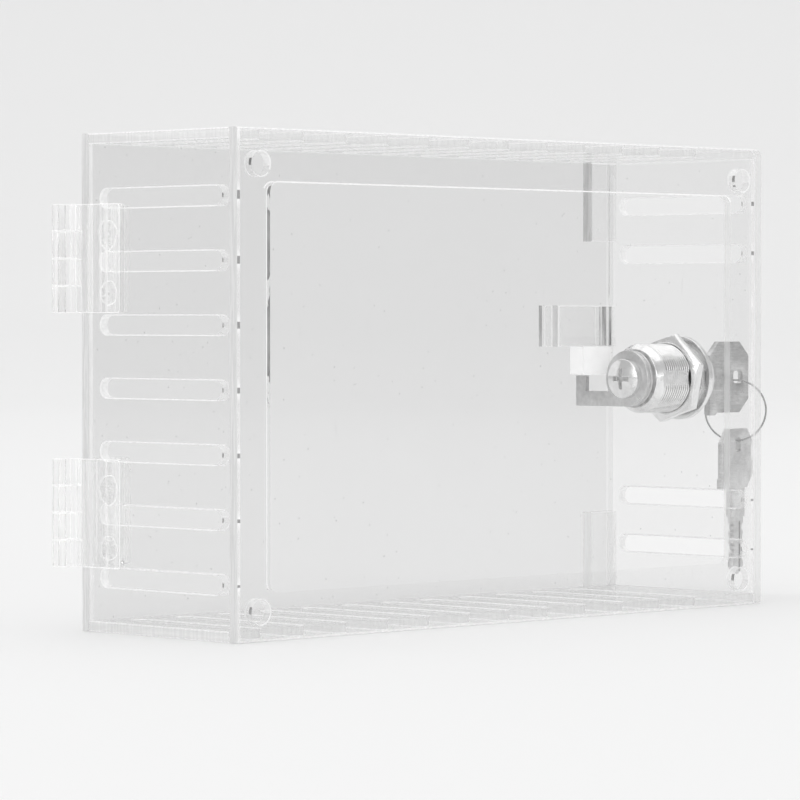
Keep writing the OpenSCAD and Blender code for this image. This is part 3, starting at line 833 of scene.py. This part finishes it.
def soft_light(name, place_at, size, power, target):
    """Rectangular lamp that faces its target."""
    data = bpy.data.lights.new(name, "AREA")
    data.shape = "RECTANGLE"
    data.size, data.size_y = size
    data.energy = power
    aim = (target - place_at).to_track_quat("-Z", "Y")
    put(name, data).matrix_world = Matrix.Translation(place_at) @ aim.to_matrix().to_4x4()


def lighting():
    """White surroundings, the lamps and how far light is followed."""
    world = bpy.data.worlds.new("studio")
    world.use_nodes = True
    surroundings = world.node_tree.nodes["Background"]
    surroundings.inputs["Color"].default_value = (1, 1, 1, 1)
    surroundings.inputs["Strength"].default_value = WORLD_LIGHT
    SCENE.world = world
    for name, (place_at, size, power, target) in LAMPS.items():
        soft_light(name, place_at, size, power, target)
    SCENE.view_settings.view_transform = "Standard"
    SCENE.view_settings.look = "None"
    SCENE.cycles.transparent_max_bounces = CLEAR_BOUNCES
    SCENE.cycles.max_bounces = ALL_BOUNCES


# Box

def on_plane(axis, level, least=0.5):
    """A test for walls next to that plane whose normals lie along its axis by at least that share."""
    def test(centre, normal):
        return abs(centre[axis] - level) < NEAR and abs(normal[axis]) > least
    return test


def near_plane(axis, level):
    """A test for walls and chamfers next to that plane."""
    return on_plane(axis, level, 0.3)


def painter(*rules):
    """Gives the number that goes with the first test that a wall meets."""
    def paint(centre, normal):
        for test, number in rules:
            if test(centre, normal):
                return number
    return paint


def build_back_plate(mats):
    """Frame on the wall, with painted bands of bent light in its screw holes and on its opening's hinge side,
    and painted shade of the slot ends on its outer face.
    """
    low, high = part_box("back_plate")
    middle = (low + high) / 2

    def outer_face(centre, normal):
        return normal.y > 0.99

    def in_screw_hole(centre, normal):
        across = abs(abs(centre.x - middle.x) - HOLE_SPACING_X / 2)
        up = abs(abs(centre.z - middle.z) - HOLE_SPACING_Z / 2)
        return math.hypot(across, up) < SCREW_HOLE_R + NEAR_HOLE and abs(normal.y) < 0.1

    def hinge_side_of_hole(centre, normal):
        return in_screw_hole(centre, normal) and normal.x < -0.93

    def in_opening(centre):
        across = abs(centre.x) < high.x - OPENING_MARGIN
        return across and abs(centre.z - middle.z) < high.z - OPENING_MARGIN

    def opening_top(centre, normal):
        return in_opening(centre) and 0.2 < abs(normal.y) < 0.95 and normal.z < -0.3

    def opening_hinge_side(centre, normal):
        return in_opening(centre) and normal.x < -0.8

    def faint_in_opening(centre, normal):
        return in_opening(centre) and (normal.z > 0.8 or 0.2 < abs(normal.y) < 0.95)

    rules = painter((outer_face, 3), (hinge_side_of_hole, 4), (in_screw_hole, 9), (opening_top, 5),
                    (opening_hinge_side, 6), (faint_in_opening, 7), (near_plane(0, high.x), 8))
    names = ("plate", "cut", "rim", "plate_with_painted_shade", "hole_mark", "bright_rim", "opening_side", "joint",
             "tinted_cut", "hole_wall")
    slab("back_plate", Y_AXIS, SHEET_BEVEL, [mats[k] for k in names], paint=rules)


def build_side_wall(node, faces):
    """Side sheet, glued to the back plate, top and bottom, with painted bands of bent light at the ends of
    its slots.
    """
    low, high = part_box(node)

    def in_slot(centre):
        along_y = low.y + SLOT_MARGIN_FRONT < centre.y < high.y - SLOT_MARGIN_BACK
        return along_y and low.z + SLOT_MARGIN_Z < centre.z < high.z - SLOT_MARGIN_Z

    def slot_end(centre, normal):
        return normal.y < -0.96 and in_slot(centre)

    def slot_corner(centre, normal):
        return normal.y < -0.2 and in_slot(centre)

    def slot_front(centre, normal):
        return normal.y > 0.2 and in_slot(centre)

    def far_rim(centre, normal):
        return abs(normal.y) > 0.3 and normal.x < -0.3 and not in_slot(centre)

    rules = painter((far_rim, 3), (on_plane(1, high.y), 4), (on_plane(2, low.z), 3), (on_plane(2, high.z), 3),
                    (slot_end, 5), (on_plane(1, low.y), 6), (slot_corner, 7), (slot_front, 8))
    slab(node, X_AXIS, SHEET_BEVEL, faces, paint=rules)


def build_sheets(mats):
    """Back plate, side walls, top, bottom and door."""
    build_back_plate(mats)
    for node, names in SIDE_WALL_FACES.items():
        build_side_wall(node, [mats[k] for k in names])
    faces = [mats[k] for k in ("clear", "cut", "rim", "joint")]
    back = painter((on_plane(1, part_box("back_plate")[0].y), 3))
    slab("top_wall", Z_AXIS, SHEET_BEVEL, faces, paint=back)
    slab("bottom_wall", Z_AXIS, SHEET_BEVEL, faces, paint=back)
    faces = [mats[k] for k in ("door", "cut", "rim", "tinted_cut", "joint")]
    low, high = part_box("door_panel")
    ends = painter((near_plane(0, high.x), 3), (near_plane(0, low.x), 4))
    slab("door_panel", Y_AXIS, SHEET_BEVEL, faces, paint=ends)


def build_stop_blocks(mats):
    """Blocks in the lock-side corners. The upper one's ends carry painted bent light: dark on one end, dark
    and bright streaks on the other.
    """
    for node, end, side in (("upper_stop_block", "dark_block", "streaks"),
                            ("lower_stop_block", "cut", "cut")):
        low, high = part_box(node)
        faces = [mats[k] for k in ("block", "cut", "rim", end, side)]
        ends = painter((on_plane(0, high.x), 3), (on_plane(0, low.x), 4))
        slab(node, Y_AXIS, BLOCK_BEVEL, faces, paint=ends)


def build_catch(mats):
    """Block of three glued layers, the strip below it and the hazy lip."""
    low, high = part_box("catch_block")
    layer = (high.y - low.y) / 3
    axes = plane_frame(Y_AXIS)
    loops = outline_loops("catch_block", axes, high.y)
    for count in range(3):
        mesh = filled_curve("catch_layer", loops, layer - GLUE_GAP, BLOCK_BEVEL, 0)
        mesh.transform(Matrix.Translation((0, 0, low.y + (count + 0.5) * layer)))
        mesh.transform(axes.to_4x4())
        for poly in mesh.polygons:
            poly.material_index = face_kind(abs(poly.normal.y))
            if abs(poly.normal.x) > 0.9:
                poly.material_index = 3 if poly.normal.x > 0 else 4
        faces = [mats[k] for k in ("block", "cut", "rim", "block_end", "block_back_end")]
        finish_mesh(f"catch_layer_{count + 1}", mesh, faces, "door", ["catch_block"])
    slab("catch_arm", Z_AXIS, BLOCK_BEVEL, [mats[k] for k in ("clear", "joint", "joint")])
    slab("catch_lip", X_AXIS, BLOCK_BEVEL, [mats[k] for k in ("hazy", "hazy", "rim")])


def glue_patch(name, leaf, mats, at, size):
    """Thin patch of glue with a wavy bright edge inside a wall leaf, just above the sheet below it."""
    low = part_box(leaf)[0]
    verts = [Vector((low.x + GLUE_GAP, at.y, at.z)), Vector((low.x + 2 * GLUE_GAP, at.y, at.z))]
    for level in (1, 2):
        for share in (GLUE_RIM, 1.0):
            for k in range(GLUE_STEPS):
                turn = 2 * math.pi * k / GLUE_STEPS
                wave = share * (1 + 0.05 * math.sin(3 * turn + at.z * 900) + 0.03 * math.sin(7 * turn))
                verts.append(Vector((low.x + level * GLUE_GAP, at.y + size[0] * wave * math.cos(turn),
                                     at.z + size[1] * wave * math.sin(turn))))
    inner_low, outer_low, inner_high, outer_high = (2 + GLUE_STEPS * k for k in range(4))
    middle_faces, rim_faces = [], []
    for k in range(GLUE_STEPS):
        after = (k + 1) % GLUE_STEPS
        middle_faces += [(0, inner_low + after, inner_low + k), (1, inner_high + k, inner_high + after)]
        for a, b in ((inner_low, outer_low), (outer_low, outer_high), (outer_high, inner_high)):
            rim_faces.append((a + k, a + after, b + after, b + k))
    mesh = bpy.data.meshes.new(name)
    mesh.from_pydata(verts, [], middle_faces + rim_faces)
    for poly in mesh.polygons[len(middle_faces):]:
        poly.material_index = 1
    outward(mesh)
    finish_mesh(name, mesh, [mats["glue"], mats["hinge_edge"]], body_of(leaf))


def build_pin(level, mats):
    """Plain pin with rounded ends, a little thinner than its bore so that it shows."""
    node = f"{level}_hinge_pin"
    low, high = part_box(node)
    radius = (high.x - low.x) / 2 - PIN_EASE
    half = (high.z - low.z) / 2
    arc = ARC_DEPTH * BLOCK_BEVEL
    rings = [(PIN_TIP_R, half), (radius - BLOCK_BEVEL, half), (radius - arc, half - arc),
             (radius, half - BLOCK_BEVEL)]
    rings += [(r, -z) for r, z in reversed(rings)]
    verts, faces = lathe(rings, PIN_STEPS)
    mesh = bpy.data.meshes.new(node + "_shape")
    mesh.from_pydata(verts, [], faces)
    mesh.transform(Matrix.Translation((low + high) / 2))
    outward(mesh)
    finish_mesh(node + "_finish", mesh, [mats["pin"]], body_of(node), [node])


def build_hinges(mats):
    """Clear leaves with bright edges, their pins and the glue behind the wall leaves."""
    faces = [mats[k] for k in ("hinge", "joint", "hinge_edge")]
    for level in ("upper", "lower"):
        wall_leaf, door_leaf = f"{level}_wall_leaf", f"{level}_door_leaf"
        low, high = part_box(wall_leaf)
        ends = {wall_leaf: on_plane(1, high.y), door_leaf: on_plane(0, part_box(door_leaf)[0].x)}
        for leaf, end in ends.items():
            softened(leaf, BLOCK_BEVEL, faces, paint=painter((end, 1)))
        build_pin(level, mats)
        for place_name, across, up, size in GLUE_PATCHES:
            at = Vector((0, high.y - across, (low.z + high.z) / 2 + up))
            glue_patch(f"{level}_glue_{place_name}", wall_leaf, mats, at, size)


def lock_frame():
    """Lock axes: x down, y towards the wall and z inwards from the side wall's outer face."""
    low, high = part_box("lock_body")
    centre = (low + high) / 2
    turn = Matrix(((0, 0, 1), (0, 1, 0), (-1, 0, 0))).to_4x4()
    return Matrix.Translation((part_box("lock_wall")[0].x, centre.y, centre.z)) @ turn


def thread_radius(angle, z):
    """Radius of the helical thread, which fades out before the taper."""
    turn = (z / THREAD_PITCH - angle / (2 * math.pi)) % 1.0
    groove = max(0.0, 1.0 - abs(turn - 0.5) * THREAD_SLOPE)
    fade = min(1.0, max(0.0, (THREAD_END - THREAD_PLAIN - z) / THREAD_FADE))
    return BARREL_R - THREAD_DEPTH * groove * fade


def build_barrel(mats):
    """Rim, face and threaded barrel with two flats. The thread's root carries painted shade, its end is
    painted pale against the shade in its cavity.
    """
    rows = [(r * MM, z * MM) for r, z in HEAD_OUTLINE]
    bore_start = rows[0][1]
    count = round(THREAD_END / THREAD_PITCH * THREAD_ROWS)
    for i in range(count + 1):
        level = THREAD_END * i / count
        rows.append(lambda angle, z=level: (thread_radius(angle, z), z))
    rows += [(BARREL_END_R + TAPER_EASE, BARREL_LENGTH - BARREL_EASE),
             (BARREL_END_R - BARREL_EASE, BARREL_LENGTH), (BARREL_BORE_R + BARREL_EASE, BARREL_LENGTH),
             (BARREL_BORE_R, BARREL_LENGTH - BARREL_EASE), (BARREL_BORE_R, bore_start)]
    verts, faces = lathe(rows, ROUND_STEPS)
    verts = [(x, max(-FLAT_HALF, min(FLAT_HALF, y)) if z >= 0 else y, z) for x, y, z in verts]
    mesh = bpy.data.meshes.new("barrel")
    mesh.from_pydata(verts, [], faces)
    for poly in mesh.polygons:
        # Faces deep in the thread's groove get the darker metal, painted shade
        low_in_thread = math.hypot(poly.center.x, poly.center.y) < BARREL_R - THREAD_ROOT
        round_side = abs(poly.center.y) < FLAT_HALF - BARREL_EASE
        poly.material_index = int(low_in_thread and round_side and 0 < poly.center.z < THREAD_END)
        if poly.center.z > BARREL_LENGTH - BARREL_EASE / 5:
            poly.material_index = 2
    mesh.transform(lock_frame())
    outward(mesh)
    faces = [mats[k] for k in ("chrome", "root", "recess")]
    finish_mesh("lock_body_finish", mesh, faces, "box", ["lock_body"], 25)


def build_screw(mats):
    """Domed screw with a cross recess painted pale, with a faint glow, against the shade in it."""
    low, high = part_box("cam_screw")
    centre = (low + high) / 2

    def in_recess(centre_of_face, normal):
        out = math.hypot(centre_of_face.y - centre.y, centre_of_face.z - centre.z)
        deep = centre_of_face.x < high.x - SCREW_DOME and normal.x > 0.9
        wall = abs(normal.x) < 0.5 and centre_of_face.x > high.x - RECESS_DEPTH
        return out < RECESS_LENGTH / 2 + NEAR_HOLE and (deep or wall)

    faces = [mats["screw"], mats["recess"], mats["screw"]]
    softened("cam_screw", FINE_BEVEL, faces, paint=painter((in_recess, 1)))


def build_lock(mats):
    """Barrel, nut, screw, washer, cam, plug and wafers."""
    build_barrel(mats)
    softened("lock_nut", FINE_BEVEL, [mats["chrome"]])
    build_screw(mats)
    slab("cam_washer", X_AXIS, METAL_BEVEL, [mats["dull"]] * 3, rounds=1)
    slab("lock_cam", X_AXIS, METAL_BEVEL, [mats["dull"]] * 3, rounds=1)
    for node, mat in (("lock_plug", "cast"), ("lock_wafers", "brass")):
        NODES[node].data.materials.clear()
        NODES[node].data.materials.append(mats[mat])


def build_ring(mats):
    """Split ring: two turns of wire side by side, with one step across."""
    low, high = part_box("key_ring")
    centre = (low + high) / 2
    first, last = RING_HALF_STEP, 4 * math.pi - RING_HALF_STEP
    side = Vector((math.sin(RING_YAW), -math.cos(RING_YAW), 0))
    flat = Vector((math.cos(RING_YAW), math.sin(RING_YAW), 0))
    verts, faces = [], []
    for i in range(RING_STEPS + 1):
        angle = first + (last - first) * i / RING_STEPS
        step = min(1.0, max(0.0, 0.5 + (angle - 2 * math.pi) / (2 * RING_HALF_STEP)))
        offset = RING_WIRE_R * TURN_DISTANCE * (2 * step * step * (3 - 2 * step) - 1)
        radial = side * math.sin(angle) + Z_AXIS * math.cos(angle)
        middle = centre + radial * RING_R + flat * offset
        wire_r = RING_WIRE_R * (WIRE_END if i in (0, RING_STEPS) else 1.0)
        for k in range(WIRE_STEPS):
            turn = 2 * math.pi * k / WIRE_STEPS
            verts.append(middle + (radial * math.cos(turn) + flat * math.sin(turn)) * wire_r)
    for i in range(RING_STEPS):
        for k in range(WIRE_STEPS):
            a, b = i * WIRE_STEPS + k, i * WIRE_STEPS + (k + 1) % WIRE_STEPS
            faces.append((a, b, b + WIRE_STEPS, a + WIRE_STEPS))
    faces.append(tuple(range(WIRE_STEPS)))
    faces.append(tuple(RING_STEPS * WIRE_STEPS + k for k in reversed(range(WIRE_STEPS))))
    mesh = bpy.data.meshes.new("split_ring")
    mesh.from_pydata(verts, [], faces)
    outward(mesh)
    finish_mesh("split_ring", mesh, [mats["wire"]], "ring", ["key_ring"])


def key_frames():
    """Frames of both keys: x along the blade from its shoulder, z through its thickness."""
    low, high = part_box("key_in_lock")
    seated = Matrix(((1, 0, 0), (0, 0, -1), (0, 1, 0))).to_4x4()
    centre_z = lock_frame().translation.z
    seated = Matrix.Translation((high.x - BLADE_LENGTH, (low.y + high.y) / 2, centre_z)) @ seated
    low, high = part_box("spare_key")
    side = Vector((math.cos(SPARE_YAW), math.sin(SPARE_YAW), 0))
    hanging = Matrix((-Z_AXIS, side.cross(-Z_AXIS), side)).transposed().to_4x4()
    ring_low, ring_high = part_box("key_ring")
    middle = (ring_low + ring_high) / 2
    hanging = Matrix.Translation((middle.x, middle.y, low.z + BLADE_LENGTH)) @ hanging
    return {"key_in_lock": seated, "spare_key": hanging}


def groove_cutter(matrix, side):
    """Bar that mills one groove along a face of the blade."""
    middle = side * GROOVE_OFFSET
    spans = ((GROOVE_START, BLADE_LENGTH + GROOVE_WIDTH),
             (middle - GROOVE_WIDTH / 2, middle + GROOVE_WIDTH / 2),
             tuple(sorted((side * (KEY_THICKNESS / 2 - GROOVE_DEPTH), side * KEY_THICKNESS))))
    shape = bmesh.new()
    bmesh.ops.create_cube(shape, size=1)
    for v in shape.verts:
        v.co = matrix @ Vector([span[0] + (c + 0.5) * (span[1] - span[0]) for span, c in zip(spans, v.co)])
    mesh = bpy.data.meshes.new("groove")
    shape.to_mesh(mesh)
    shape.free()
    return put("groove", mesh)


def build_keys(mats):
    """Both keys, with a groove milled along each face of the blade, and their ring."""
    frames = key_frames()
    for node, name in (("key_in_lock", "key"), ("spare_key", "spare")):
        cutters = [groove_cutter(frames[node], side) for side in (-1, 1)]
        normal = frames[node].to_3x3() @ Z_AXIS
        slab(node, normal, METAL_BEVEL, [mats[name]] * 3, rounds=1, cuts=cutters)
    build_ring(mats)


mats = materials()
backdrop(camera())
lighting()
build_sheets(mats)
build_stop_blocks(mats)
build_catch(mats)
build_hinges(mats)
build_lock(mats)
build_keys(mats)
